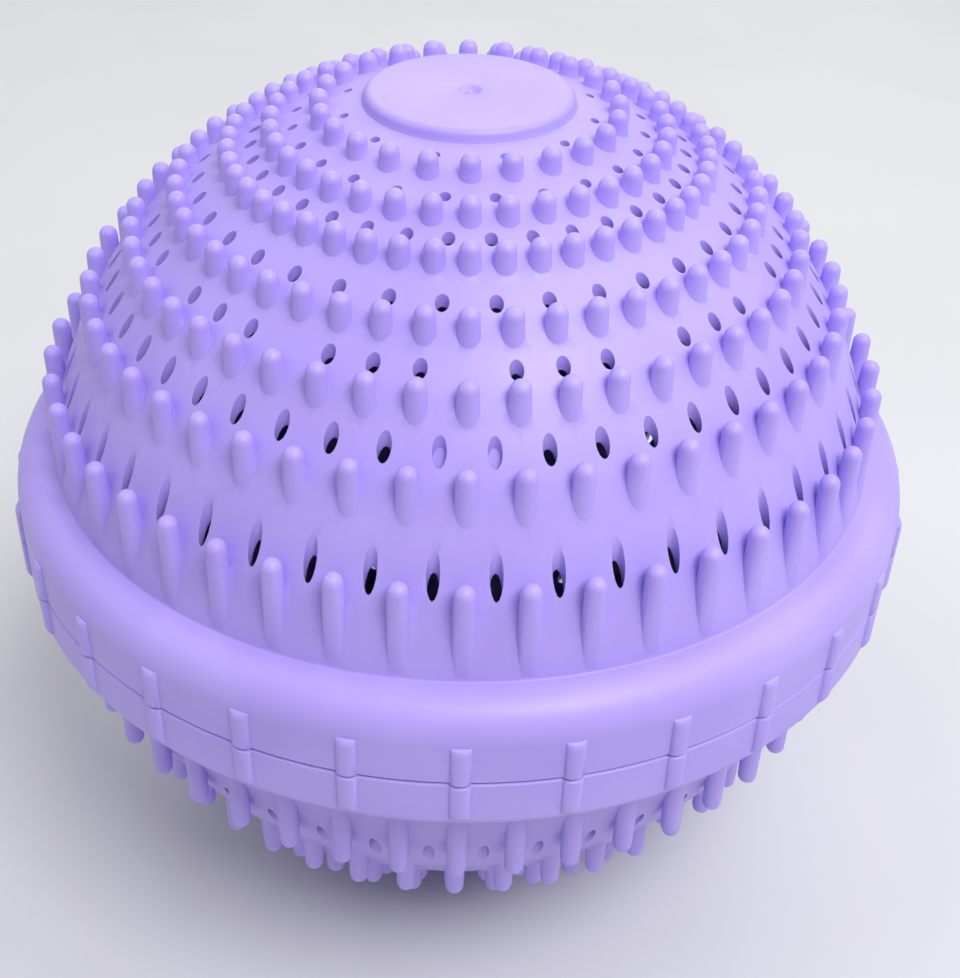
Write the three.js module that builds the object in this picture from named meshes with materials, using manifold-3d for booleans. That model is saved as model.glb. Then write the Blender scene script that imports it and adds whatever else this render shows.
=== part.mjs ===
// Laundry ball: two perforated half shells studded with pegs, closed by a twist lock inside their
// collars, with a four-vane divider and loose ceramic beads inside.
// Millimetres, +Z up. The origin is the centre of the flat face that the ball rests on.
// Azimuth 0 looks to -Y, and azimuths grow towards +X.
import * as THREE from 'three';
import { mergeVertices } from 'three/addons/utils/BufferGeometryUtils.js';
import Module from 'manifold-3d';

const wasm = await Module();
wasm.setup();

// Shell of each half
const DOME_RADIUS = 52;
const WALL = 1.2;
const DISC_RADIUS = 11.4;
const DISC_DROP = 0.1;
const DISC_DRAFT = 0.4;
const GATE_DIAMETER = 3;
const GATE_DEPTH = 0.6;
const CEILING_RADIUS = 6;
const SEAM_GAP = 0.3;

// Pegs and holes, drawn straight up from the mould, in rings about the axis
const FIRST_RING_RADIUS = 17;
const RING_PITCH = 5.5;
const PEG_DIAMETER = 2.5;
const PEG_TIP_DIAMETER = 2;
const PEG_REACH = 2.3;
const HOLE_DIAMETER = 2.2;
const OPEN_RINGS = 2;
const INNER_EDGE_OFFSET = 0.9;
// Rings from the pole outwards: pegs, how far they lie inside their even place, hole places, the
// holes' shift in hole pitches, the step between hole places that stay closed (0 leaves all of them
// open), and how far the holes lie inside their pegs. Only the outermost open rings have their holes
// cut here, because the holes nearer the pole are too many and too fine.
const RINGS = [
  { pegs: 24, setIn: 0, holes: 12, shift: 0.5, closed: 0, inset: 2.6 },
  { pegs: 36, setIn: 0, holes: 24, shift: 0.5, closed: 0, inset: 2.5 },
  { pegs: 48, setIn: 0.6, holes: 36, shift: 0.5, closed: 0, inset: 2.6 },
  { pegs: 48, setIn: 0, holes: 36, shift: 0.5, closed: 0, inset: 2.5 },
  { pegs: 48, setIn: 0, holes: 48, shift: 0, closed: 4, inset: 2.7 },
  { pegs: 48, setIn: 0, holes: 48, shift: 0.5, closed: 0, inset: 2.9 },
  { pegs: 48, setIn: 0, holes: 48, shift: 0.5, closed: 0, inset: 2.3 },
];

// Collar with its grip ribs
const COLLAR_PROUD = 4;
const COLLAR_WALL_HEIGHT = 5.2;
const SHOULDER_RADIUS = 4.4;
const RIB_COUNT = 30;
const RIB_WIDTH = 2.4;
const RIB_CREST_WIDTH = 1.2;
const RIB_PROUD = 0.6;

// Twist lock: a spigot with lugs on the lower half turns in a grooved socket in the upper half
const SPIGOT_STEP = 0.2;
const SPIGOT_WALL = 1.6;
const SPIGOT_HEIGHT = 6.6;
const TURN_CLEARANCE = 0.5;
const LUG_COUNT = 4;
const LUG_ANGLE = 8;
const LUG_PROUD = 1;
const LUG_HEIGHT = 1.8;
const LUG_TOP = 5.2;
const LOCK_ANGLE = 24;
const CLEARANCE = 0.3;

// Divider, hung on a pin under the top disc and keyed between guides in the lower half
const VANE_COUNT = 4;
const VANE_THICKNESS = 1.6;
const VANE_EDGE_GAP = 1;
const HUB_RADIUS = 5;
const HUB_WEB = 3;
const PIN_RADIUS = 2.4;
const PIN_HEAD_PROUD = 0.7;
const PIN_HEAD_HEIGHT = 1.6;
const GUIDE_THICKNESS = 1.5;
const GUIDE_DEPTH = 4;
const GUIDE_TOP = 3;
const GUIDE_LENGTH = 8;
const WINDOW_WIDTH = 5;
const WINDOW_GAP = 6;
const WINDOW_RIM = 16;

// Beads lie in layers up the lower bowl, one bead more in each next layer of a chamber
const BEAD_DIAMETER = 11;
const BEAD_LAYERS = 3;
const BEAD_GAP = 0.5;
const BEAD_KINDS = [
  { name: 'red_clay', color: 0x9a5540 },
  { name: 'white', color: 0xe6e1d6 },
  { name: 'grey', color: 0x8c8d90 },
  { name: 'tan', color: 0xc7a577 },
];

// Facets of the round forms
const ROUND_SEGMENTS = 48;
const INNER_SEGMENTS = 24;
const SECTOR_STEPS = 4;
const FIN_STEPS = 2;
const PEG_SIDES = 3;
const HOLE_SIDES = 3;
const GATE_SIDES = 8;
const PIN_SIDES = 12;
const BEAD_SEGMENTS = 6;
const BEAD_BANDS = 4;

// Corners closer than the first are one corner, and a diagonal that gains less than the second stays
const MERGE_DISTANCE = 1e-4;
const SWAP_GAIN = 1e-6;

const radians = THREE.MathUtils.degToRad;
const innerRadius = DOME_RADIUS - WALL;
const discTop = DOME_RADIUS - DISC_DROP;
const seamFace = SEAM_GAP / 2;
const collarRadius = DOME_RADIUS + COLLAR_PROUD;
const collarTop = COLLAR_WALL_HEIGHT + SHOULDER_RADIUS;
const spigotInnerRadius = innerRadius + SPIGOT_STEP;
const spigotRadius = spigotInnerRadius + SPIGOT_WALL;
const lugRadius = spigotRadius + LUG_PROUD;
const pegRadius = PEG_DIAMETER / 2;
const holeRadius = HOLE_DIAMETER / 2;
const beadRadius = BEAD_DIAMETER / 2;
const socketTop = SPIGOT_HEIGHT + CLEARANCE;

// Height of a ball's surface over its centre plane at a distance from the axis
function ballHeight(ballRadius, distance) {
  return Math.sqrt(Math.max(0, ballRadius ** 2 - distance ** 2));
}

// Divider hub and its pin, from the flat ceiling under the disc downwards
const ceilingHeight = ballHeight(innerRadius, CEILING_RADIUS);
const hubTop = ceilingHeight - CLEARANCE;
const pinHeadTop = hubTop - HUB_WEB - CLEARANCE;
const pinEnd = pinHeadTop - PIN_HEAD_HEIGHT;

// Closed geometry to a solid that can be joined and cut
function solid(geometry) {
  const bare = geometry.index ? geometry.toNonIndexed() : geometry.clone();
  bare.deleteAttribute('normal');
  bare.deleteAttribute('uv');
  const merged = mergeVertices(bare, MERGE_DISTANCE);
  const vertProperties = new Float32Array(merged.attributes.position.array);
  const triVerts = new Uint32Array(merged.index.array);
  return new wasm.Manifold(new wasm.Mesh({ numProp: 3, vertProperties, triVerts }));
}

function geometryOf(body) {
  const { vertProperties, triVerts } = body.getMesh();
  const geometry = new THREE.BufferGeometry();
  geometry.setAttribute('position', new THREE.BufferAttribute(vertProperties, 3));
  geometry.setIndex(new THREE.BufferAttribute(triVerts, 1));
  geometry.computeVertexNormals();
  return geometry;
}

function joined(geometries) {
  return geometries.map(solid).reduce((whole, piece) => whole.add(piece));
}

// Revolve about Z of a profile of [radius, height] points, listed up its outside
function revolve(profile, segments = ROUND_SEGMENTS) {
  const points = profile.map(([radius, height]) => new THREE.Vector2(radius, height));
  return new THREE.LatheGeometry(points, segments).rotateX(Math.PI / 2);
}

// Revolve of a ring whose profile closes on itself
function revolveRing(profile, segments = ROUND_SEGMENTS) {
  return revolve([...profile, profile[0]], segments);
}

// Block between two radii and two azimuths in degrees
function ringSector(inner, outer, from, to, bottom, top) {
  const start = radians(from - 90);
  const end = radians(to - 90);
  const outline = new THREE.Shape();
  outline.absarc(0, 0, outer, start, end, false);
  outline.absarc(0, 0, inner, end, start, true);
  const options = { depth: top - bottom, bevelEnabled: false, curveSegments: SECTOR_STEPS };
  return new THREE.ExtrudeGeometry(outline, options).translate(0, 0, bottom);
}

// Corners, seen from above, of an upright form whose first corner is turned from facing outwards
function footprint({ distance, azimuth }, radius, sides, turn = 0) {
  const outwards = azimuth - Math.PI / 2;
  return Array.from({ length: sides }, (unused, index) => {
    const angle = outwards + turn + (index * 2 * Math.PI) / sides;
    return new THREE.Vector2(
      distance * Math.cos(outwards) + radius * Math.cos(angle),
      distance * Math.sin(outwards) + radius * Math.sin(angle),
    );
  });
}

function circle(radius, segments = ROUND_SEGMENTS) {
  return footprint({ distance: 0, azimuth: 0 }, radius, segments);
}

// How far a point lies inside the circle through three others that turn left, above 0 when inside
function insideCircle(a, b, c, point) {
  const [p, q, r] = [a, b, c].map((corner) => corner.clone().sub(point));
  return p.lengthSq() * q.cross(r) - q.lengthSq() * p.cross(r) + r.lengthSq() * p.cross(q);
}

// Swaps the diagonals between neighbouring triangles until none is left long and thin
function evenedOut(faces, plan) {
  const sides = ([i, j, k]) => [[i, j, k], [j, k, i], [k, i, j]];
  for (let swapped = true; swapped;) {
    swapped = false;
    const opposite = new Map();
    faces.forEach((face, index) => {
      sides(face).forEach(([i, j, k]) => opposite.set(`${i} ${j}`, [index, k]));
    });
    const touched = new Set();
    opposite.forEach(([index, k], side) => {
      const [i, j] = side.split(' ').map(Number);
      const [other, l] = opposite.get(`${j} ${i}`) ?? [index];
      if (other === index || touched.has(index) || touched.has(other)) return;
      if (insideCircle(plan[i], plan[j], plan[k], plan[l]) < SWAP_GAIN) return;
      faces[index] = [i, l, k];
      faces[other] = [l, j, k];
      touched.add(index).add(other);
      swapped = true;
    });
  }
  return faces;
}

// Collects triangles of a skin that is drawn in plan and lifted to its heights
class Skin {
  constructor() {
    this.positions = [];
  }

  triangle(a, b, c) {
    [a, b, c].forEach((point) => this.positions.push(point.x, point.y, point.z));
  }

  // Plan between an outline and the outlines cut from it, facing up or down
  sheet(outline, cuts, height, facesUp) {
    const plan = [outline, ...cuts].flat();
    const lifted = plan.map((point) => new THREE.Vector3(point.x, point.y, height(point.length())));
    const faces = THREE.ShapeUtils.triangulateShape([...outline], cuts.map((cut) => [...cut]));
    evenedOut(faces, plan).forEach((face) => {
      const corners = face.map((index) => lifted[index]);
      this.triangle(...(facesUp ? corners : corners.reverse()));
    });
  }

  // Wall up from one outline to another with as many corners, facing away from their middle
  wall(lower, lowerHeight, upper, upperHeight) {
    const lift = (point, height) => new THREE.Vector3(point.x, point.y, height(point.length()));
    lower.forEach((point, index) => {
      const next = (index + 1) % lower.length;
      const [a, b] = [lift(point, lowerHeight), lift(lower[next], lowerHeight)];
      const [c, d] = [lift(upper[next], upperHeight), lift(upper[index], upperHeight)];
      this.triangle(a, b, c);
      this.triangle(a, c, d);
    });
  }

  geometry() {
    const geometry = new THREE.BufferGeometry();
    return geometry.setAttribute('position', new THREE.Float32BufferAttribute(this.positions, 3));
  }
}

// Peg rings from the pole out to where the next one would leave the dome
function pegRings() {
  const rings = [];
  for (let even = FIRST_RING_RADIUS; even + pegRadius <= DOME_RADIUS; even += RING_PITCH) {
    const row = RINGS[Math.min(rings.length, RINGS.length - 1)];
    rings.push({ ...row, radius: even - row.setIn });
  }
  rings.slice(-OPEN_RINGS).forEach((ring) => { ring.cut = true; });
  return rings;
}

function ringPegs(ring) {
  return Array.from({ length: ring.pegs }, (unused, index) => ({
    distance: ring.radius,
    azimuth: (index * 2 * Math.PI) / ring.pegs,
  }));
}

function ringHoles(ring) {
  const places = Array.from({ length: ring.cut ? ring.holes : 0 }, (unused, index) => index);
  const open = places.filter((index) => ring.closed === 0 || index % ring.closed !== 0);
  return open.map((index) => ({
    distance: ring.radius - ring.inset,
    azimuth: ((index + ring.shift) * 2 * Math.PI) / ring.holes,
  }));
}

// Radii of the edges on the inside of a dome, from its ceiling out to the top of the socket, clear of
// the holes
function innerEdges() {
  const besidePegs = pegRings().slice(0, -1).map((ring) => ring.radius + INNER_EDGE_OFFSET);
  return [CEILING_RADIUS, ...besidePegs, ballHeight(innerRadius, socketTop)];
}

// Outside of a half over its centre plane: the dome, and the collar's shoulder where that is higher
function outside(distance) {
  const fromShoulder = Math.max(0, distance - (collarRadius - SHOULDER_RADIUS));
  const shoulder = COLLAR_WALL_HEIGHT + ballHeight(SHOULDER_RADIUS, fromShoulder);
  return Math.max(shoulder, ballHeight(DOME_RADIUS, distance));
}

function inside(distance) {
  return Math.max(seamFace, ballHeight(innerRadius, distance));
}

// Raised disc at the pole with the mark of the moulding gate, and the flat ceiling under it
function poleDisc(skin) {
  const foot = circle(DISC_RADIUS, INNER_SEGMENTS);
  const rim = circle(DISC_RADIUS - DISC_DRAFT, INNER_SEGMENTS);
  const gate = circle(GATE_DIAMETER / 2, GATE_SIDES);
  const top = () => discTop;
  const gateFloor = () => discTop - GATE_DEPTH;
  skin.wall(foot, outside, rim, top);
  skin.sheet(rim, [gate], top, true);
  skin.wall(gate, top, gate, gateFloor);
  skin.sheet(gate, [], gateFloor, true);
  skin.sheet(circle(CEILING_RADIUS, INNER_SEGMENTS), [], inside, false);
  return foot;
}

// Shoulder, upright ribbed wall and seam face of the collar
function collar(skin, shoulderEdge) {
  const corner = (radius, azimuth, offset) => (
    footprint({ distance: 0, azimuth }, radius, 1, offset / radius)[0]);
  const ribs = Array.from({ length: RIB_COUNT }, (unused, index) => {
    const azimuth = (index * 2 * Math.PI) / RIB_COUNT;
    return [
      corner(collarRadius, azimuth, -RIB_WIDTH / 2),
      corner(collarRadius + RIB_PROUD, azimuth, -RIB_CREST_WIDTH / 2),
      corner(collarRadius + RIB_PROUD, azimuth, RIB_CREST_WIDTH / 2),
      corner(collarRadius, azimuth, RIB_WIDTH / 2),
    ];
  });
  const wallTop = () => COLLAR_WALL_HEIGHT;
  const wallFoot = () => seamFace;
  skin.sheet(ribs.flatMap((rib) => [rib.at(0), rib.at(-1)]), [shoulderEdge], outside, true);
  ribs.forEach((rib) => skin.sheet(rib, [], wallTop, true));
  skin.wall(ribs.flat(), wallFoot, ribs.flat(), wallTop);
  skin.sheet(ribs.flat(), [circle(innerRadius, INNER_SEGMENTS)], wallFoot, false);
}

// Either half without its share of the lock: studded, perforated dome over a ribbed collar
function halfShell() {
  const skin = new Skin();
  const rings = pegRings();
  const discFoot = poleDisc(skin);
  const shoulderEdge = circle(collarRadius - SHOULDER_RADIUS * (1 - Math.SQRT1_2));
  collar(skin, shoulderEdge);
  const pegs = rings.flatMap((ring) => ringPegs(ring));
  const feet = pegs.map((place) => footprint(place, pegRadius, PEG_SIDES, Math.PI));
  const holes = rings.map((ring) => (
    ringHoles(ring).map((place) => footprint(place, holeRadius, HOLE_SIDES))));
  skin.sheet(shoulderEdge, [discFoot, ...feet, ...holes.flat()], outside, true);
  pegs.forEach((place, index) => {
    const tip = footprint(place, PEG_TIP_DIAMETER / 2, PEG_SIDES, Math.PI);
    const tipHeight = () => ballHeight(DOME_RADIUS + PEG_REACH, place.distance);
    skin.wall(feet[index], outside, tip, tipHeight);
    skin.sheet(tip, [], tipHeight, true);
  });
  holes.flat().forEach((hole) => skin.wall(hole, outside, hole, inside));
  const edges = [...innerEdges(), innerRadius].map((radius) => circle(radius, INNER_SEGMENTS));
  edges.slice(1).forEach((edge, index) => {
    skin.sheet(edge, [edges[index], ...(holes[index] ?? [])], inside, false);
  });
  return skin.geometry();
}

function turned(geometry, degrees) {
  return geometry.rotateZ(radians(degrees));
}

// Evenly spaced copies about the axis, each made new and turned to its azimuth in degrees
function aroundAxis(count, make) {
  return Array.from({ length: count }, (unused, index) => turned(make(), (index * 360) / count));
}

// Snap pin that hangs from the ceiling of the upper half
function dividerPin() {
  const headRadius = PIN_RADIUS + PIN_HEAD_PROUD;
  const root = ceilingHeight + WALL / 2;
  return revolve([
    [0, pinEnd],
    [PIN_RADIUS, pinEnd],
    [headRadius, pinHeadTop - PIN_HEAD_HEIGHT / 2],
    [headRadius, pinHeadTop],
    [PIN_RADIUS, pinHeadTop],
    [PIN_RADIUS, root],
    [0, root],
  ], PIN_SIDES);
}

// Groove for one lug: an entry open at the seam, and a run that the lug turns along
function lugGroove() {
  const slack = THREE.MathUtils.radToDeg(CLEARANCE / lugRadius);
  const from = -LUG_ANGLE / 2 - slack;
  const entryEnd = LUG_ANGLE / 2 + slack;
  const top = LUG_TOP + CLEARANCE;
  const outer = lugRadius + TURN_CLEARANCE;
  const entry = ringSector(spigotRadius, outer, from, entryEnd, -SEAM_GAP, top);
  const floor = LUG_TOP - LUG_HEIGHT - CLEARANCE;
  const run = ringSector(spigotRadius, outer, from, entryEnd + LOCK_ANGLE, floor, top);
  return [entry, run];
}

function upperShell(half) {
  const socketRadius = spigotRadius + TURN_CLEARANCE;
  const socket = revolve([
    [0, -SEAM_GAP], [socketRadius, -SEAM_GAP], [socketRadius, socketTop], [0, socketTop],
  ]);
  const grooves = [0, 1].flatMap((part) => aroundAxis(LUG_COUNT, () => lugGroove()[part]));
  return solid(half).subtract(joined([socket, ...grooves])).add(solid(dividerPin()));
}

// Pair of upright fins on the wall of the lower bowl, with a vane's edge between them
function vaneGuides() {
  const middleOfWall = innerRadius + WALL / 2;
  const bottom = GUIDE_TOP + GUIDE_LENGTH;
  const outline = new THREE.Shape();
  outline.moveTo(innerRadius - GUIDE_DEPTH, -GUIDE_TOP);
  const upperAngle = -Math.asin(GUIDE_TOP / middleOfWall);
  const lowerAngle = -Math.asin(bottom / middleOfWall);
  outline.absarc(0, 0, middleOfWall, upperAngle, lowerAngle, true);
  outline.lineTo(innerRadius - GUIDE_DEPTH, -bottom);
  const options = { depth: GUIDE_THICKNESS, bevelEnabled: false, curveSegments: FIN_STEPS };
  const offset = VANE_THICKNESS / 2 + CLEARANCE;
  return [offset, -offset - GUIDE_THICKNESS].map((side) => {
    const fin = new THREE.ExtrudeGeometry(outline, options);
    return fin.translate(0, 0, side).rotateX(Math.PI / 2).rotateZ(-Math.PI / 2);
  });
}

function lowerShell(half) {
  const spigot = revolveRing([
    [spigotInnerRadius, -COLLAR_WALL_HEIGHT],
    [spigotRadius, -COLLAR_WALL_HEIGHT],
    [spigotRadius, SPIGOT_HEIGHT],
    [spigotInnerRadius, SPIGOT_HEIGHT],
  ]);
  const lug = () => ringSector(
    spigotRadius - SPIGOT_WALL / 2, lugRadius, -LUG_ANGLE / 2, LUG_ANGLE / 2, LUG_TOP - LUG_HEIGHT, LUG_TOP,
  );
  const guides = [0, 1].flatMap((side) => aroundAxis(VANE_COUNT, () => vaneGuides()[side]));
  const upsideDown = half.clone().rotateX(Math.PI);
  return joined([upsideDown, spigot, ...aroundAxis(LUG_COUNT, lug), ...guides]);
}

// Half the height of a vane's slot that starts at a distance from the axis
function windowReach(near) {
  return ballHeight(innerRadius, near + WINDOW_WIDTH) - WINDOW_RIM;
}

// Upright plate from the hub to the shell, with slots for the water
function vane(innerEdge) {
  const shrink = 1 - VANE_EDGE_GAP / innerRadius;
  const profile = [...innerEdges(), innerRadius].reverse();
  const edge = profile.map((radius) => new THREE.Vector2(radius, ballHeight(innerRadius, radius)));
  const above = edge.map((point) => point.multiplyScalar(shrink)).filter((point) => point.x > innerEdge);
  const below = above.map((point) => new THREE.Vector2(point.x, -point.y)).reverse();
  const outline = new THREE.Shape([
    new THREE.Vector2(innerEdge, -hubTop),
    ...below,
    ...above.slice(1),
    new THREE.Vector2(innerEdge, hubTop),
  ]);
  const step = WINDOW_WIDTH + WINDOW_GAP;
  for (let near = HUB_RADIUS + WINDOW_GAP; windowReach(near) > WINDOW_WIDTH; near += step) {
    const far = near + WINDOW_WIDTH;
    const reach = windowReach(near);
    const corners = [[near, -reach], [near, reach], [far, reach], [far, -reach]];
    outline.holes.push(new THREE.Path(corners.map(([x, y]) => new THREE.Vector2(x, y))));
  }
  const plate = new THREE.ExtrudeGeometry(outline, { depth: VANE_THICKNESS, bevelEnabled: false });
  return plate.translate(0, 0, -VANE_THICKNESS / 2).rotateX(Math.PI / 2).rotateZ(-Math.PI / 2);
}

function beadDivider() {
  const boreRadius = PIN_RADIUS + CLEARANCE;
  const pocketRadius = PIN_RADIUS + PIN_HEAD_PROUD + TURN_CLEARANCE;
  const webBottom = hubTop - HUB_WEB;
  const pocketBottom = pinEnd - CLEARANCE;
  const hub = revolve([
    [0, -hubTop],
    [HUB_RADIUS, -hubTop],
    [HUB_RADIUS, hubTop],
    [boreRadius, hubTop],
    [boreRadius, webBottom],
    [pocketRadius, webBottom],
    [pocketRadius, pocketBottom],
    [0, pocketBottom],
  ], PIN_SIDES);
  const vanes = aroundAxis(VANE_COUNT, () => vane((HUB_RADIUS + pocketRadius) / 2));
  return joined([hub, ...vanes]);
}

// Bead centres of one chamber, in layers that climb the bowl by one bead diameter each
function beadPlaces(chamber) {
  const reach = innerRadius - beadRadius - BEAD_GAP;
  const chamberAngle = (2 * Math.PI) / VANE_COUNT;
  const vaneReach = (VANE_THICKNESS / 2 + BEAD_GAP + beadRadius) / Math.sin(chamberAngle / 2);
  const hubReach = HUB_RADIUS + BEAD_GAP + beadRadius;
  const firstTilt = Math.asin(Math.max(vaneReach, hubReach) / reach);
  const tiltStep = 2 * Math.asin((beadRadius + BEAD_GAP / 2) / reach);
  const places = [];
  for (let layer = 0; layer < BEAD_LAYERS; layer += 1) {
    const tilt = firstTilt + layer * tiltStep;
    for (let bead = 0; bead <= layer; bead += 1) {
      const azimuth = (chamber + (bead + 0.5) / (layer + 1)) * chamberAngle;
      const outwards = new THREE.Vector3(Math.sin(azimuth), -Math.cos(azimuth), 0);
      places.push(outwards.multiplyScalar(reach * Math.sin(tilt)).setZ(-reach * Math.cos(tilt)));
    }
  }
  return places;
}

function namedMesh(name, geometry, material) {
  const mesh = new THREE.Mesh(geometry, material);
  mesh.name = name;
  return mesh;
}

function ceramicBeads(ball) {
  BEAD_KINDS.forEach(({ name, color }, chamber) => {
    const material = new THREE.MeshStandardMaterial({ color, roughness: 0.8, metalness: 0 });
    beadPlaces(chamber).forEach((place, index) => {
      const bead = new THREE.SphereGeometry(beadRadius, BEAD_SEGMENTS, BEAD_BANDS);
      const mesh = namedMesh(`${name}_bead_${index + 1}`, bead.rotateX(Math.PI / 2), material);
      mesh.position.copy(place);
      ball.add(mesh);
    });
  });
}

// The ball's parts are placed from its centre, which stands above the resting face
function laundryBall() {
  const lavender = new THREE.MeshStandardMaterial({ color: 0xb09bf0, roughness: 0.45, metalness: 0 });
  const ball = new THREE.Group();
  const half = halfShell();
  ball.add(namedMesh('upper_shell', geometryOf(upperShell(half)), lavender));
  ball.add(namedMesh('lower_shell', geometryOf(lowerShell(half)), lavender));
  ball.add(namedMesh('bead_divider', geometryOf(beadDivider()), lavender));
  ceramicBeads(ball);
  ball.position.z = discTop;
  const part = new THREE.Group();
  part.add(ball);
  return part;
}

export default laundryBall();
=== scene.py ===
"""Builds a studded laundry ball with its bead divider and ceramic beads on a pale stage."""

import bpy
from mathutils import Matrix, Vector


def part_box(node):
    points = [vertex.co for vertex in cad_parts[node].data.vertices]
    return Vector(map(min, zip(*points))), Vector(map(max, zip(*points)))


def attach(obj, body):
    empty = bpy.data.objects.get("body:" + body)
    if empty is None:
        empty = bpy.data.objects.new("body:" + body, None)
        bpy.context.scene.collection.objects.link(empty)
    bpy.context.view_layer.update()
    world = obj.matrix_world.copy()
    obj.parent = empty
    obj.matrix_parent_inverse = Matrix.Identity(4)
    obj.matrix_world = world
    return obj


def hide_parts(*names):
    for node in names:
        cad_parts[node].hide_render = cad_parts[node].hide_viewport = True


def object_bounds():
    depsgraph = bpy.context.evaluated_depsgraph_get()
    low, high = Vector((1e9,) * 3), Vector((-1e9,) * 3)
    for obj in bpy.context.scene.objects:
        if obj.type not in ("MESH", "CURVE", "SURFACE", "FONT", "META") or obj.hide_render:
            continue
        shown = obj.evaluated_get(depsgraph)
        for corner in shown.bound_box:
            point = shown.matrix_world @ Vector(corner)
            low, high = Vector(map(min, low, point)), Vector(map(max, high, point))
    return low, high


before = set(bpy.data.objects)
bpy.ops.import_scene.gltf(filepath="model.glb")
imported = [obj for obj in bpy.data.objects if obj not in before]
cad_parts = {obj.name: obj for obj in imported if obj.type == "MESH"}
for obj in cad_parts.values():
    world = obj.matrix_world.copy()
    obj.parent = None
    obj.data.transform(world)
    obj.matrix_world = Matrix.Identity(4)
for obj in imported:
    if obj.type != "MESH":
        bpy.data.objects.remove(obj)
CAD_BOX = [list(corner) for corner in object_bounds()]

import math
from typing import NamedTuple

import bmesh
import bpy
from mathutils import Matrix, Vector, noise
from mathutils.geometry import delaunay_2d_cdt

bl_info = {
    "name": "Laundry Ball",
    "version": (1, 0, 0),
    "blender": (4, 5, 0),
    "location": "View3D > Sidebar > Laundry Ball",
    "description": "Builds a studded laundry ball with its divider and ceramic beads",
    "category": "Object",
}

# The ball's centre stands over the middle of its resting face, halfway up the frame
CENTRE = Vector((0, 0, (CAD_BOX[0][2] + CAD_BOX[1][2]) / 2))


class Ring(NamedTuple):
    """One ring of pegs, and the ring of holes that lies inside it"""
    pegs: int
    holes: int
    hole_inset: float  # from the pegs in to the holes
    hole_size: tuple  # in plan, across and along the slope
    hole_shift: float = 0.5  # of the first hole from the front, in hole pitches
    peg_inset: float = 0.0  # from the pegs' even place
    closed_step: int = 0  # between hole places that stay closed; 0 leaves all open
    blind: tuple = ()  # hole places that end blind, as pits


# Rings from the pole outwards
RINGS = (
    Ring(24, 12, 0.0026, (0.0012, 0.0010)),
    Ring(36, 24, 0.0025, (0.0013, 0.0012)),
    Ring(48, 36, 0.0026, (0.0014, 0.0015), peg_inset=0.0006),
    Ring(48, 36, 0.0025, (0.0015, 0.0016)),
    Ring(48, 48, 0.0027, (0.0015, 0.0016), hole_shift=0.0, closed_step=4),
    Ring(48, 48, 0.0029, (0.0015, 0.0020), blind=(0, 47)),
    Ring(48, 48, 0.0023, (0.0014, 0.0021)),
)

# Kinds of bead, with as many of each
BEAD_KINDS = ("red_clay", "white", "grey", "tan")
BEADS_PER_KIND = 6

# Unevenness of a bead in bead radii: its mean, then the frequency, height and seed of its lumps and pits
BEAD_MEAN = 0.975
BEAD_LUMPS = (1.3, 0.03, 900)
BEAD_PITS = (5, 0.008, 500)

# Facets of the round forms
PEG_SIDES = 18
HOLE_SIDES = 16
POLE_SIDES = 96
PIN_SIDES = 40
LOCK_SIDES = 192
BETWEEN_RIBS = 6
RIB_END_STEPS = 7
DISC_EDGE_STEPS = 5
CREASE_STEPS = 4
SHOULDER_STEPS = 12
TIP_STEPS = 5
GUIDE_STEPS = 4
VANE_STEPS = 60
SLOT_STEPS = 12
EDGE_SEGMENTS = 2
BEAD_SUBDIVISIONS = 4
FLOOR_CELLS = 8
SECTOR_STEP = math.radians(2)

# Angles from which an edge is sharp, or rounded on the divider, and lengths within which points are one
SHARP_ANGLE = math.radians(38)
ROUNDED_ANGLE = math.radians(50)
SEW_DISTANCE = 1e-7
PLAN_TOLERANCE = 1e-8

# Points across a rib in half widths, circles on the disc's flat in disc radii, the gate dimple's circles
# in gate radii with their depths in gate depths, and the pin's blunt point in pin radii
RIB_PROFILE = (-1.0, -0.94, -0.78, -0.5, -0.2, 0.2, 0.5, 0.78, 0.94, 1.0)
DISC_CIRCLES = (0.6, 0.3)
GATE_PROFILE = ((1.15, 0.0), (1.0, 0.12), (0.8, 0.7), (0.55, 1.0), (0.4, 0.9), (0.25, 0.45), (0.1, 0.3))
PIN_POINT = 0.85

# Lamps: place from the ball's centre, size across and power
LAMPS = {
    "key_light": ((0.22, -0.38, 0.65), 0.36, 4.0),
    "left_light": ((-0.60, 0.10, 0.70), 1.0, 2.5),
    "right_light": ((0.60, 0.05, 0.70), 1.0, 3.8),
    "back_light": ((0.05, 0.60, 0.50), 0.6, 1.4),
}

# Camera: width of its sensor in millimetres, and the nearest and farthest that it sees
SENSOR_WIDTH = 36
CLIP_RANGE = (0.01, 20)


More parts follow.
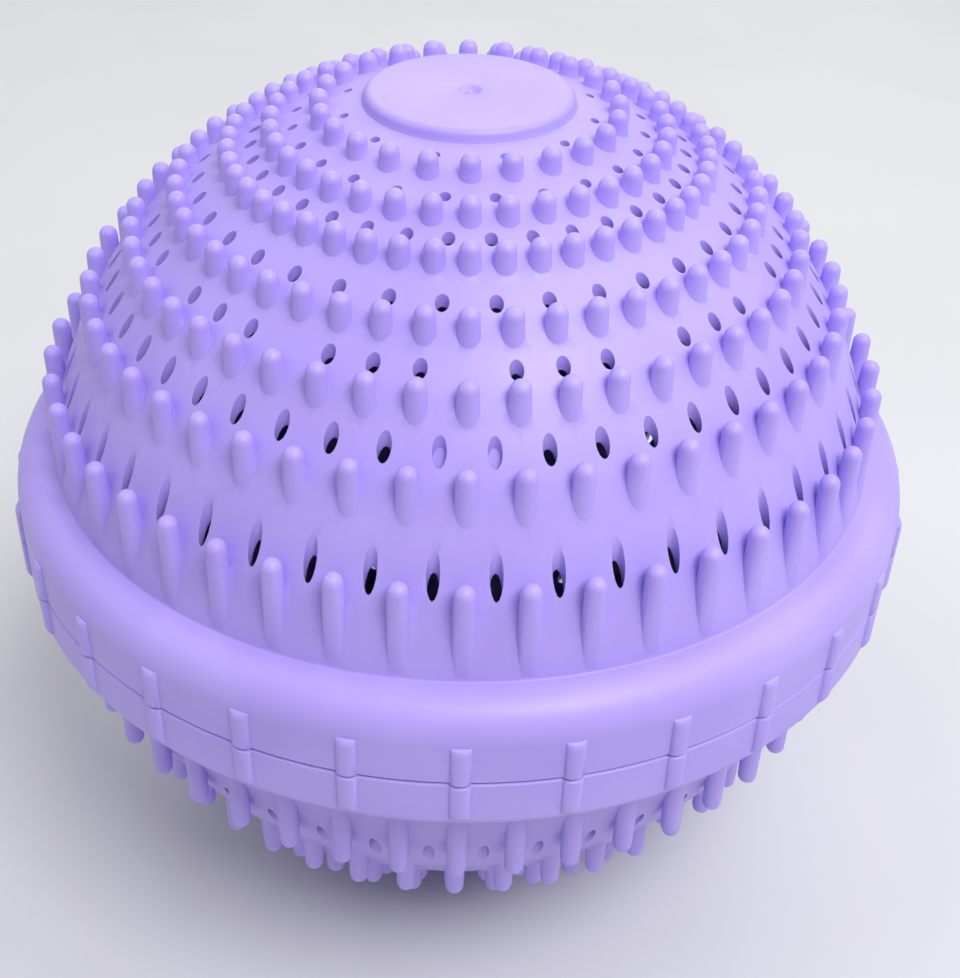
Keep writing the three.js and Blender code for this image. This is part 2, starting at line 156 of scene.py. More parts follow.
class ShellSizes(bpy.types.PropertyGroup):
    """Sizes of the two half shells"""
    dome_radius: bpy.props.FloatProperty(
        name="Dome radius", description="Outside of the dome", default=0.052, unit="LENGTH")
    wall: bpy.props.FloatProperty(
        name="Wall", description="Thickness of the dome", default=0.0012, unit="LENGTH")
    disc_radius: bpy.props.FloatProperty(
        name="Disc radius", description="Foot of the flat disc at the pole", default=0.0122, unit="LENGTH")
    disc_draft: bpy.props.FloatProperty(
        name="Disc draft", description="Slope of the disc's side", default=0.0002, unit="LENGTH")
    disc_edge: bpy.props.FloatProperty(
        name="Disc edge", description="Rounding round the disc's rim", default=0.0009, unit="LENGTH")
    gate_radius: bpy.props.FloatProperty(
        name="Gate radius", description="Dimple left by the moulding gate", default=0.0013, unit="LENGTH")
    gate_depth: bpy.props.FloatProperty(
        name="Gate depth", description="Depth of the gate dimple", default=0.0006, unit="LENGTH")
    ceiling_radius: bpy.props.FloatProperty(
        name="Ceiling radius", description="Flat under the disc", default=0.006, unit="LENGTH")
    first_ring: bpy.props.FloatProperty(
        name="First ring", description="Radius of the innermost ring of pegs", default=0.017, unit="LENGTH")
    ring_pitch: bpy.props.FloatProperty(
        name="Ring pitch", description="Between rings of pegs", default=0.0055, unit="LENGTH")
    peg_radius: bpy.props.FloatProperty(
        name="Peg radius", description="Peg at its foot", default=0.00118, unit="LENGTH")
    peg_tip_radius: bpy.props.FloatProperty(
        name="Peg tip radius", description="Peg at its rounded tip", default=0.00112, unit="LENGTH")
    peg_reach: bpy.props.FloatProperty(
        name="Peg reach", description="Peg tips over the dome", default=0.0023, unit="LENGTH")
    peg_flare: bpy.props.FloatProperty(
        name="Peg flare", description="Rounding at the peg's foot", default=0.00005, unit="LENGTH")
    pit_depth: bpy.props.FloatProperty(
        name="Pit depth", description="Depth of the holes that end blind", default=0.0015, unit="LENGTH")
    collar_radius: bpy.props.FloatProperty(
        name="Collar radius", description="Collar without its ribs", default=0.056, unit="LENGTH")
    collar_wall: bpy.props.FloatProperty(
        name="Collar wall", description="Upright wall from the seam", default=0.0052, unit="LENGTH")
    shoulder: bpy.props.FloatProperty(
        name="Shoulder", description="Rounding over the upper collar's wall", default=0.0044, unit="LENGTH")
    lower_shoulder: bpy.props.FloatProperty(
        name="Lower shoulder", description="Rounding under the lower collar's wall", default=0.0014,
        unit="LENGTH")
    crease: bpy.props.FloatProperty(
        name="Crease", description="Softness where the dome meets the collar", default=0.00025, unit="LENGTH")
    rib_count: bpy.props.IntProperty(
        name="Ribs", description="Grip ribs round each collar", default=30, min=3)
    rib_width: bpy.props.FloatProperty(
        name="Rib width", description="Width of a grip rib", default=0.0022, unit="LENGTH")
    rib_proud: bpy.props.FloatProperty(
        name="Rib height", description="Rib over the collar's wall", default=0.0006, unit="LENGTH")
    rib_end: bpy.props.FloatProperty(
        name="Rib end", description="Rounding at the rib's end", default=0.0009, unit="LENGTH")
    seam_gap: bpy.props.FloatProperty(
        name="Seam gap", description="Between the two collars", default=0.00016, unit="LENGTH")
    seam_chamfer: bpy.props.FloatProperty(
        name="Seam chamfer", description="Edge of each collar at the seam", default=0.00022, unit="LENGTH")
    grain: bpy.props.FloatProperty(
        name="Grain", description="Spacing of the dome's points", default=0.0011, unit="LENGTH")


class LockSizes(bpy.types.PropertyGroup):
    """Sizes of the twist lock and of the divider's seat"""
    spigot_step: bpy.props.FloatProperty(
        name="Spigot step", description="From the bowl's wall to the spigot", default=0.0002, unit="LENGTH")
    spigot_wall: bpy.props.FloatProperty(
        name="Spigot wall", description="Thickness of the spigot", default=0.0016, unit="LENGTH")
    spigot_height: bpy.props.FloatProperty(
        name="Spigot height", description="Spigot over the seam", default=0.0066, unit="LENGTH")
    turn_clearance: bpy.props.FloatProperty(
        name="Turn clearance", description="Round what turns", default=0.0005, unit="LENGTH")
    clearance: bpy.props.FloatProperty(
        name="Clearance", description="Beside what fits", default=0.0003, unit="LENGTH")
    lug_count: bpy.props.IntProperty(
        name="Lugs", description="Lugs round the spigot", default=4, min=2)
    lug_angle: bpy.props.FloatProperty(
        name="Lug angle", description="Arc of a lug", default=math.radians(8), subtype="ANGLE")
    lock_angle: bpy.props.FloatProperty(
        name="Lock angle", description="Turn from open to locked", default=math.radians(24), subtype="ANGLE")
    lug_proud: bpy.props.FloatProperty(
        name="Lug height", description="Lug over the spigot", default=0.001, unit="LENGTH")
    lug_height: bpy.props.FloatProperty(
        name="Lug length", description="Lug along the axis", default=0.0018, unit="LENGTH")
    lug_top: bpy.props.FloatProperty(
        name="Lug top", description="Top of the lugs over the seam", default=0.0052, unit="LENGTH")
    pin_radius: bpy.props.FloatProperty(
        name="Pin radius", description="Pin that the divider hangs on", default=0.0024, unit="LENGTH")
    pin_head: bpy.props.FloatProperty(
        name="Pin head", description="Snap head over the pin", default=0.0007, unit="LENGTH")
    pin_head_height: bpy.props.FloatProperty(
        name="Pin head height", description="Snap head along the axis", default=0.0016, unit="LENGTH")
    guide_thickness: bpy.props.FloatProperty(
        name="Guide thickness", description="Fins beside each vane", default=0.0015, unit="LENGTH")
    guide_depth: bpy.props.FloatProperty(
        name="Guide depth", description="Fins from the bowl's wall", default=0.004, unit="LENGTH")
    guide_top: bpy.props.FloatProperty(
        name="Guide top", description="Fins below the seam", default=0.003, unit="LENGTH")
    guide_length: bpy.props.FloatProperty(
        name="Guide length", description="Fins along the axis", default=0.008, unit="LENGTH")


class DividerSizes(bpy.types.PropertyGroup):
    """Sizes of the divider"""
    vane_count: bpy.props.IntProperty(
        name="Vanes", description="Vanes round the hub", default=4, min=2)
    vane_thickness: bpy.props.FloatProperty(
        name="Vane thickness", description="Thickness of a vane", default=0.0016, unit="LENGTH")
    edge_gap: bpy.props.FloatProperty(
        name="Edge gap", description="From the vanes to the shells", default=0.001, unit="LENGTH")
    edge_rounding: bpy.props.FloatProperty(
        name="Edge rounding", description="Rounded edges of the vanes", default=0.0004, unit="LENGTH")
    hub_radius: bpy.props.FloatProperty(
        name="Hub radius", description="Round hub", default=0.005, unit="LENGTH")
    hub_web: bpy.props.FloatProperty(
        name="Hub web", description="Top of the hub that the pin snaps through", default=0.003, unit="LENGTH")
    window_width: bpy.props.FloatProperty(
        name="Slot width", description="Slots for the water", default=0.005, unit="LENGTH")
    window_gap: bpy.props.FloatProperty(
        name="Slot gap", description="Between slots", default=0.006, unit="LENGTH")
    window_rim: bpy.props.FloatProperty(
        name="Slot rim", description="From a slot's ends to the shell", default=0.016, unit="LENGTH")


class Finishes(bpy.types.PropertyGroup):
    """Colours of the plastic and of the beads"""
    lavender: bpy.props.FloatVectorProperty(
        name="Lavender", description="Shell plastic", subtype="COLOR", size=3,
        default=(0.435, 0.34, 0.83))
    lavender_deep: bpy.props.FloatVectorProperty(
        name="Deep lavender", description="Flow marks in the shell plastic", subtype="COLOR", size=3,
        default=(0.41, 0.315, 0.805))
    red_clay: bpy.props.FloatVectorProperty(
        name="Red clay", description="Red clay beads", subtype="COLOR", size=3, default=(0.32, 0.09, 0.05))
    white: bpy.props.FloatVectorProperty(
        name="White", description="White beads", subtype="COLOR", size=3, default=(0.79, 0.75, 0.67))
    grey: bpy.props.FloatVectorProperty(
        name="Grey", description="Grey beads", subtype="COLOR", size=3, default=(0.26, 0.265, 0.28))
    tan: bpy.props.FloatVectorProperty(
        name="Tan", description="Tan beads", subtype="COLOR", size=3, default=(0.57, 0.37, 0.18))
    clay_speck: bpy.props.FloatProperty(
        name="Clay specks", description="Brightness of a bead's darker specks", default=0.72,
        subtype="FACTOR", min=0, max=1)


class StageSettings(bpy.types.PropertyGroup):
    """Camera, floor and light"""
    camera_distance: bpy.props.FloatProperty(
        name="Camera distance", description="From the ball's centre", default=0.1942, unit="LENGTH")
    camera_azimuth: bpy.props.FloatProperty(
        name="Camera azimuth", description="Round the ball from its front", default=math.radians(-1.0),
        subtype="ANGLE")
    camera_elevation: bpy.props.FloatProperty(
        name="Camera elevation", description="Over the seam plane", default=math.radians(35.511),
        subtype="ANGLE")
    camera_roll: bpy.props.FloatProperty(
        name="Camera roll", description="Tilt of the picture", default=math.radians(1.586), subtype="ANGLE")
    lens: bpy.props.FloatProperty(
        name="Lens", description="Focal length in millimetres on a 36 mm sensor", default=53.79)
    shift: bpy.props.FloatVectorProperty(
        name="Shift", description="Framing of the picture", size=2, default=(0.0210, -0.0245))
    floor_reach: bpy.props.FloatProperty(
        name="Floor reach", description="From the middle of the floor to its edges", default=3, unit="LENGTH")
    floor_color: bpy.props.FloatVectorProperty(
        name="Floor", description="Pale floor", subtype="COLOR", size=3, default=(0.62, 0.62, 0.64))
    floor_mottle: bpy.props.FloatProperty(
        name="Floor mottle", description="Brightness of the floor's darker patches", default=0.97,
        subtype="FACTOR", min=0, max=1)
    sky_color: bpy.props.FloatVectorProperty(
        name="Sky", description="Even light from all sides", subtype="COLOR", size=3,
        default=(0.95, 0.97, 1.0))
    sky_strength: bpy.props.FloatProperty(
        name="Sky strength", description="Level of the even light", default=0.38)


class BallSettings(bpy.types.PropertyGroup):
    """All settings of the laundry ball"""
    shell: bpy.props.PointerProperty(type=ShellSizes)
    lock: bpy.props.PointerProperty(type=LockSizes)
    divider: bpy.props.PointerProperty(type=DividerSizes)
    finish: bpy.props.PointerProperty(type=Finishes)
    stage: bpy.props.PointerProperty(type=StageSettings)


def ball_height(radius, distance):
    """Height of a ball's surface over its centre plane at a distance from the axis, or the other way round"""
    return math.sqrt(max(0.0, radius ** 2 - distance ** 2))


def polar(radius, azimuth):
    """Point in plan; azimuth 0 looks to -Y and azimuths grow towards +X"""
    return Vector((radius * math.sin(azimuth), -radius * math.cos(azimuth)))


def even_azimuths(count):
    """Azimuths spread evenly all round, from the front"""
    return [2 * math.pi * index / count for index in range(count)]


def circle(radius, azimuths):
    """Points in plan on a circle about the axis"""
    return [polar(radius, azimuth) for azimuth in azimuths]


def round_loop(place, radius, sides):
    """Circle in plan about a place"""
    return [place + point for point in circle(radius, even_azimuths(sides))]


def oval(place, width, length):
    """Loop in plan about a place, with its length along the line to the axis"""
    along = place.normalized() * length / 2
    across = place.orthogonal().normalized() * width / 2
    return [place + along * point.x + across * point.y for point in circle(1, even_azimuths(HOLE_SIDES))]


def held_within(loop, limit):
    """Loop in plan whose points are drawn in to a distance from the axis"""
    return [point * min(1.0, limit / point.length) for point in loop]


def lifted(loop, height):
    """Plan points at their heights; the height is a number or follows the distance from the axis"""
    if callable(height):
        return [Vector((point.x, point.y, height(point.length))) for point in loop]
    return [Vector((point.x, point.y, height)) for point in loop]


class Skin:
    """Faces of one closed surface, gathered part by part and sewn at the end"""

    def __init__(self):
        self.points = []
        self.faces = []

    def strip(self, *loops):
        """Bands of four-sided faces through loops of as many points each"""
        count = len(loops[0])
        start = len(self.points)
        self.points += [point for loop in loops for point in loop]
        for band in range(len(loops) - 1):
            low = start + band * count
            for side in range(count):
                after = (side + 1) % count
                self.faces.append((low + side, low + after, low + count + after, low + count + side))

    def fan(self, loop, apex):
        """Triangles from a loop to a point"""
        count = len(loop)
        start = len(self.points)
        self.points += [*loop, apex]
        self.faces += [(start + side, start + (side + 1) % count, start + count) for side in range(count)]

    def sheet(self, outline, cuts, height, fill=()):
        """Triangles between an outline and the loops cut from it, through the fill points"""
        plan = list(outline)
        loops = [list(range(len(outline)))]
        for cut in cuts:
            loops.append(list(range(len(plan), len(plan) + len(cut))))
            plan += cut
        points, _, triangles, _, _, within = delaunay_2d_cdt(
            [*plan, *fill], [], loops, 1, PLAN_TOLERANCE, True)
        start = len(self.points)
        self.points += lifted(points, height)
        for triangle, owners in zip(triangles, within):
            if owners == [0]:
                self.faces.append(tuple(start + corner for corner in triangle))

    def mesh(self, name):
        """One mesh of all the faces, sewn where they meet"""
        mesh = bpy.data.meshes.new(name)
        mesh.from_pydata(self.points, [], self.faces)
        shape = bmesh.new()
        shape.from_mesh(mesh)
        bmesh.ops.remove_doubles(shape, verts=shape.verts, dist=SEW_DISTANCE)
        bmesh.ops.recalc_face_normals(shape, faces=shape.faces)
        shape.to_mesh(mesh)
        shape.free()
        return mesh


class HalfShell:
    """One half of the ball about the ball's centre, dome up, before its share of the lock"""

    def __init__(self, sizes, lock, shoulder):
        self.sizes = sizes
        self.shoulder = shoulder
        self.inner_radius = sizes.dome_radius - sizes.wall
        self.socket_top = lock.spigot_height + lock.clearance
        self.disc_top = CENTRE.z
        self.seam_face = sizes.seam_gap / 2
        self.rib_pitch = 2 * math.pi / sizes.rib_count
        self.rib_half = sizes.rib_width / 2 / sizes.collar_radius
        self.skin = Skin()
        self.azimuths = self.collar_azimuths()
        self.pegs, self.holes, self.pits = self.places()

    def collar_azimuths(self):
        """Azimuths of the collar's points, close together across each rib"""
        gap = self.rib_pitch - 2 * self.rib_half
        azimuths = []
        for rib in range(self.sizes.rib_count):
            middle = rib * self.rib_pitch
            side = middle + self.rib_half
            azimuths += [middle + self.rib_half * offset for offset in RIB_PROFILE]
            azimuths += [side + gap * step / BETWEEN_RIBS for step in range(1, BETWEEN_RIBS)]
        return azimuths

    def places(self):
        """Places of the pegs, and mouths of the holes and of the pits, in plan"""
        pegs, holes, pits = [], [], []
        for number, ring in enumerate(RINGS):
            radius = self.sizes.first_ring + number * self.sizes.ring_pitch - ring.peg_inset
            pegs += circle(radius, even_azimuths(ring.pegs))
            for index in range(ring.holes):
                if ring.closed_step and index % ring.closed_step == 0:
                    continue
                azimuth = 2 * math.pi * (index + ring.hole_shift) / ring.holes
                mouth = oval(polar(radius - ring.hole_inset, azimuth), *ring.hole_size)
                (pits if index in ring.blind else holes).append(mouth)
        return pegs, holes, pits

    def outside(self, distance):
        """Height of the dome's outside at a distance from the axis, or the other way round"""
        return ball_height(self.sizes.dome_radius, distance)

    def inside(self, distance):
        """Height of the dome's inside at a distance from the axis, or the other way round"""
        return ball_height(self.inner_radius, distance)

    def fill_circles(self, radius, first, last):
        """Distances from the axis of circles spread evenly over a ball between two of them"""
        start, end = math.asin(first / radius), math.asin(last / radius)
        count = round((end - start) * radius / self.sizes.grain)
        return [radius * math.sin(start + (end - start) * step / count) for step in range(1, count)]

    def fill_points(self, distances, off_pegs):
        """Points spread over circles, clear of the holes and, if asked, of the pegs"""
        sizes = self.sizes
        margin = sizes.grain / 8
        keep_off = []
        for mouth in self.holes + self.pits:
            middle = sum(mouth, Vector((0, 0))) / len(mouth)
            keep_off.append((middle, max((point - middle).length for point in mouth) + margin))
        if off_pegs:
            keep_off += [(peg, sizes.peg_radius + sizes.peg_flare + margin) for peg in self.pegs]
        points = []
        for distance in distances:
            near = [(place, reach) for place, reach in keep_off if abs(place.length - distance) < reach]
            for point in circle(distance, even_azimuths(round(2 * math.pi * distance / sizes.grain))):
                if all((point - place).length > reach for place, reach in near):
                    points.append(point)
        return points

    def add_disc(self):
        """Flat disc with the moulding gate's dimple, and the ceiling under it; returns the disc's foot"""
        sizes = self.sizes
        azimuths = even_azimuths(POLE_SIDES)
        foot = circle(sizes.disc_radius, azimuths)
        loops = [lifted(foot, self.outside)]
        rim = sizes.disc_radius - sizes.disc_draft - sizes.disc_edge
        for step in range(DISC_EDGE_STEPS + 1):
            turn = math.pi / 2 * step / DISC_EDGE_STEPS
            height = self.disc_top - sizes.disc_edge * (1 - math.sin(turn))
            loops.append(lifted(circle(rim + sizes.disc_edge * math.cos(turn), azimuths), height))
        for part in DISC_CIRCLES:
            loops.append(lifted(circle(sizes.disc_radius * part, azimuths), self.disc_top))
        for part, depth in GATE_PROFILE:
            height = self.disc_top - sizes.gate_depth * depth
            loops.append(lifted(circle(sizes.gate_radius * part, azimuths), height))
        self.skin.strip(*loops)
        self.skin.fan(loops[-1], Vector((0, 0, height)))
        ceiling = lifted(circle(sizes.ceiling_radius, azimuths), self.inside)
        self.skin.fan(ceiling, Vector((0, 0, self.inside(sizes.ceiling_radius))))
        return foot

    def collar_profile(self):
        """Distances and heights from the dome's edge through the crease and over the shoulder"""
        sizes = self.sizes
        top = sizes.collar_wall + self.shoulder
        edge = Vector((self.outside(top + sizes.crease), top + sizes.crease))
        corner = Vector((self.outside(top), top))
        end = corner + Vector((sizes.crease, 0))
        profile = []
        for step in range(CREASE_STEPS + 1):
            part = step / CREASE_STEPS
            profile.append(edge.lerp(corner, part).lerp(corner.lerp(end, part), part))
        for step in range(SHOULDER_STEPS + 1):
            tilt = math.pi / 2 * step / SHOULDER_STEPS
            inset = self.shoulder * (1 - math.sin(tilt))
            height = sizes.collar_wall + self.shoulder * math.cos(tilt)
            profile.append(Vector((sizes.collar_radius - inset, height)))
        return profile

    def rib_height(self, azimuth, height):
        """How far the ribs stand over the collar's wall at a place on it"""
        sizes = self.sizes
        across = (azimuth + self.rib_pitch / 2) % self.rib_pitch - self.rib_pitch / 2
        into_end = max(0.0, height - (sizes.collar_wall - sizes.rib_end)) / sizes.rib_end
        return sizes.rib_proud * ball_height(1.0, across / self.rib_half) * ball_height(1.0, into_end)

    def ribbed_loop(self, inset, height):
        """Loop round the collar's wall and its ribs, set in by a distance"""
        points = []
        for azimuth in self.azimuths:
            radius = self.sizes.collar_radius - inset + self.rib_height(azimuth, height)
            points += lifted([polar(radius, azimuth)], height)
        return points

    def add_collar(self):
        """Crease, shoulder, ribbed wall and seam edge of the collar; returns its two edges"""
        sizes = self.sizes
        profile = self.collar_profile()
        loops = [lifted(circle(radius, self.azimuths), height) for radius, height in profile]
        ends = []
        for step in range(1, RIB_END_STEPS + 1):
            tilt = math.pi / 2 * step / RIB_END_STEPS
            ends.append(sizes.collar_wall - sizes.rib_end + sizes.rib_end * math.cos(tilt))
        foot = self.seam_face + sizes.seam_chamfer
        for height in [*ends, (foot + ends[-1]) / 2, foot]:
            loops.append(self.ribbed_loop(0.0, height))
        loops.append(self.ribbed_loop(sizes.seam_chamfer, self.seam_face))
        self.skin.strip(*loops)
        return circle(profile[0].x, self.azimuths), loops[-1]

    def add_pegs(self):
        """Round pegs, straight up, with rounded tips; returns their feet in plan"""
        sizes = self.sizes
        limit = self.collar_profile()[0].x - sizes.peg_flare
        feet = []
        for place in self.pegs:
            foot = held_within(round_loop(place, sizes.peg_radius + sizes.peg_flare, PEG_SIDES), limit)
            root = held_within(round_loop(place, sizes.peg_radius, PEG_SIDES), limit)
            top = ball_height(sizes.dome_radius + sizes.peg_reach, place.length)
            loops = [
                lifted(foot, self.outside),
                lifted(root, lambda distance: self.outside(distance) + 2 * sizes.peg_flare),
            ]
            for step in range(TIP_STEPS):
                turn = math.pi / 2 * step / TIP_STEPS
                tip = round_loop(place, sizes.peg_tip_radius * math.cos(turn), PEG_SIDES)
                loops.append(lifted(tip, top - sizes.peg_tip_radius * (1 - math.sin(turn))))
            self.skin.strip(*loops)
            self.skin.fan(loops[-1], Vector((place.x, place.y, top)))
            feet.append(foot)
        return feet

    def add_holes(self):
        """Upright water holes through the wall, and the pits that end blind in it"""
        for mouth in self.holes:
            self.skin.strip(lifted(mouth, self.outside), lifted(mouth, self.inside))
        for mouth in self.pits:
            floor = lifted(mouth, lambda distance: self.outside(distance) - self.sizes.pit_depth)
            self.skin.strip(lifted(mouth, self.outside), floor)
            self.skin.fan(floor, sum(floor, Vector()) / len(floor))

    def mesh(self, name):
        """The whole half as one closed mesh"""
        sizes = self.sizes
        disc_foot = self.add_disc()
        dome_edge, seam_edge = self.add_collar()
        feet = self.add_pegs()
        self.add_holes()
        circles = self.fill_circles(sizes.dome_radius, sizes.disc_radius, dome_edge[0].length)
        cuts = [disc_foot, *feet, *self.holes, *self.pits]
        self.skin.sheet(dome_edge, cuts, self.outside, self.fill_points(circles, True))
        belt = circle(self.inside(self.socket_top), self.azimuths)
        ceiling = circle(sizes.ceiling_radius, even_azimuths(POLE_SIDES))
        circles = self.fill_circles(self.inner_radius, sizes.ceiling_radius, belt[0].length)
        self.skin.sheet(belt, [ceiling, *self.holes], self.inside, self.fill_points(circles, False))
        rim = circle(self.inside(self.seam_face), self.azimuths)
        self.skin.strip(lifted(belt, self.socket_top), lifted(rim, self.seam_face), seam_edge)
        return self.skin.mesh(name)


def turned_loops(profile, sides):
    """Loops about the axis through a profile of (radius, height) points"""
    azimuths = even_azimuths(sides)
    return [lifted(circle(radius, azimuths), height) for radius, height in profile]


def turned_ring(profile, name):
    """Closed mesh of a profile that closes on itself, turned about the axis"""
    skin = Skin()
    loops = turned_loops(profile, LOCK_SIDES)
    skin.strip(*loops, loops[0])
    return skin.mesh(name)


def turned_rod(profile, name):
    """Closed mesh of a profile from end to end, turned about the axis, with flat ends"""
    skin = Skin()
    loops = turned_loops(profile, PIN_SIDES)
    skin.strip(*loops)
    for loop in (loops[0], loops[-1]):
        skin.fan(loop, Vector((0, 0, loop[0].z)))
    return skin.mesh(name)


def ring_sector(inner, outer, start, end, bottom, top, name):
    """Block between two radii, two azimuths and two heights"""
    steps = max(2, round((end - start) / SECTOR_STEP))
    azimuths = [start + (end - start) * step / steps for step in range(steps + 1)]
    outline = circle(outer, azimuths) + circle(inner, reversed(azimuths))
    skin = Skin()
    for height in (bottom, top):
        skin.sheet(outline, [], height)
    skin.strip(lifted(outline, bottom), lifted(outline, top))
    return skin.mesh(name)


def plate(outline, cuts, front, back, azimuth, name):
    """Upright plate at an azimuth, between two offsets from the axis; its outline, in distance and height,
    runs anticlockwise"""
    skin = Skin()
    for offset in (front, back):
        skin.sheet(outline, cuts, offset)
    for loop in (outline, *cuts):
        skin.strip(lifted(loop, front), lifted(loop, back))
    mesh = skin.mesh(name)
    mesh.transform(Matrix.Rotation(azimuth - math.pi / 2, 4, "Z") @ Matrix.Rotation(math.pi / 2, 4, "X"))
    return mesh


def new_object(name, mesh):
    """Object of a mesh, in the scene"""
    obj = bpy.data.objects.new(name, mesh)
    bpy.context.scene.collection.objects.link(obj)
    return obj


def reshape(obj, tool_mesh, operation):
    """Joins a closed mesh to an object, or cuts it away"""
    tool = new_object("tool", tool_mesh)
    modifier = obj.modifiers.new("reshape", "BOOLEAN")
    modifier.solver = "MANIFOLD"
    modifier.operation = operation
    modifier.object = tool
    graph = bpy.context.evaluated_depsgraph_get()
    mesh = bpy.data.meshes.new_from_object(obj.evaluated_get(graph))
    obj.modifiers.clear()
    old = obj.data
    obj.data = mesh
    mesh.name = obj.name
    bpy.data.objects.remove(tool)
    for spent in (old, tool_mesh):
        bpy.data.meshes.remove(spent)


def shade(obj, material):
    """Smooth shading up to the sharp edges, and one material"""
    mesh = obj.data
    mesh.shade_smooth()
    mesh.set_sharp_from_angle(angle=SHARP_ANGLE)
    mesh.materials.clear()
    mesh.materials.append(material)


def put_in_frame(obj, node, body):
    """Puts a piece made about the ball's centre in the frame, in place of its CAD node"""
    obj.data.transform(Matrix.Translation(CENTRE))
    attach(obj, body)
    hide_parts(node)


def link_nodes(tree, links):
    """Links pairs of an output and an input"""
    for output, socket in links:
        tree.links.new(output, socket)


def mottle_group():
    """Shared effect: soft mottling and fine grain over a surface"""
    name = "mottle_and_grain"
    if name in bpy.data.node_groups:
        return bpy.data.node_groups[name]
    group = bpy.data.node_groups.new(name, "ShaderNodeTree")
    for label, default in (("Mottle Scale", 60.0), ("Grain Scale", 900.0), ("Low", 0.4), ("High", 0.6)):
        socket = group.interface.new_socket(label, in_out="INPUT", socket_type="NodeSocketFloat")
        socket.default_value = default
    for label in ("Mottle", "Grain"):
        group.interface.new_socket(label, in_out="OUTPUT", socket_type="NodeSocketFloat")
    nodes = group.nodes
    inputs = nodes.new("NodeGroupInput")
    outputs = nodes.new("NodeGroupOutput")
    where = nodes.new("ShaderNodeTexCoord")
    mottle = nodes.new("ShaderNodeTexNoise")
    mottle.inputs["Detail"].default_value = 4.0
    spread = nodes.new("ShaderNodeMapRange")
    grain = nodes.new("ShaderNodeTexNoise")
    grain.inputs["Detail"].default_value = 3.0
    grain.inputs["Roughness"].default_value = 0.6
    link_nodes(group, (
        (where.outputs["Object"], mottle.inputs["Vector"]),
        (where.outputs["Object"], grain.inputs["Vector"]),
        (inputs.outputs["Mottle Scale"], mottle.inputs["Scale"]),
        (inputs.outputs["Grain Scale"], grain.inputs["Scale"]),
        (mottle.outputs["Fac"], spread.inputs["Value"]),
        (inputs.outputs["Low"], spread.inputs["From Min"]),
        (inputs.outputs["High"], spread.inputs["From Max"]),
        (spread.outputs["Result"], outputs.inputs["Mottle"]),
        (grain.outputs["Fac"], outputs.inputs["Grain"]),
    ))
    return group


def surface(name, colors, roughness, mottle_scale, grain_scale, bump, bump_distance):
    """Material with its shader; colour runs between two values with the mottling, roughness with the grain"""
    material = bpy.data.materials.new(name)
    material.use_nodes = True
    nodes = material.node_tree.nodes
    shader = nodes["Principled BSDF"]
    effect = nodes.new("ShaderNodeGroup")
    effect.node_tree = mottle_group()
    effect.inputs["Mottle Scale"].default_value = mottle_scale
    effect.inputs["Grain Scale"].default_value = grain_scale
    tint = nodes.new("ShaderNodeMix")
    tint.data_type = "RGBA"
    tint.inputs["A"].default_value = (*colors[0], 1)
    tint.inputs["B"].default_value = (*colors[1], 1)
    gloss = nodes.new("ShaderNodeMapRange")
    gloss.inputs["To Min"].default_value = roughness[0]
    gloss.inputs["To Max"].default_value = roughness[1]
    relief = nodes.new("ShaderNodeBump")
    relief.inputs["Strength"].default_value = bump
    relief.inputs["Distance"].default_value = bump_distance
    link_nodes(material.node_tree, (
        (effect.outputs["Mottle"], tint.inputs["Factor"]),
        (tint.outputs["Result"], shader.inputs["Base Color"]),
        (effect.outputs["Grain"], gloss.inputs["Value"]),
        (gloss.outputs["Result"], shader.inputs["Roughness"]),
        (effect.outputs["Grain"], relief.inputs["Height"]),
        (relief.outputs["Normal"], shader.inputs["Normal"]),
    ))
    return material, shader


def lavender_plastic(name, finish, roughness):
    """Moulded plastic that lets a little light into its skin"""
    material, shader = surface(
        name, (finish.lavender_deep, finish.lavender), roughness,
        mottle_scale=70, grain_scale=1600, bump=0.10, bump_distance=0.00004)
    shader.inputs["IOR"].default_value = 1.49
    shader.inputs["Subsurface Weight"].default_value = 0.15
    shader.inputs["Subsurface Radius"].default_value = (0.7, 0.6, 1.0)
    shader.inputs["Subsurface Scale"].default_value = 0.0012
    return material


def fired_clay(name, color, speck):
    """Unglazed clay with darker specks and a grainy skin"""
    dark = [channel * speck for channel in color]
    material, _ = surface(
        name, (dark, color), roughness=(0.72, 0.92),
        mottle_scale=260, grain_scale=1400, bump=0.35, bump_distance=0.00015)
    return material


def pale_floor(name, color, mottle):
    """Plain pale paint, very slightly uneven"""
    dark = [channel * mottle for channel in color]
    material, _ = surface(
        name, (dark, color), roughness=(0.55, 0.65),
        mottle_scale=12, grain_scale=300, bump=0.05, bump_distance=0.0002)
    return material


def unevenness(direction, middle, frequency, height, seed):
    """Height of the lumps or pits of the bead about a middle, in a direction"""
    return height * noise.noise(direction * frequency + middle * seed)


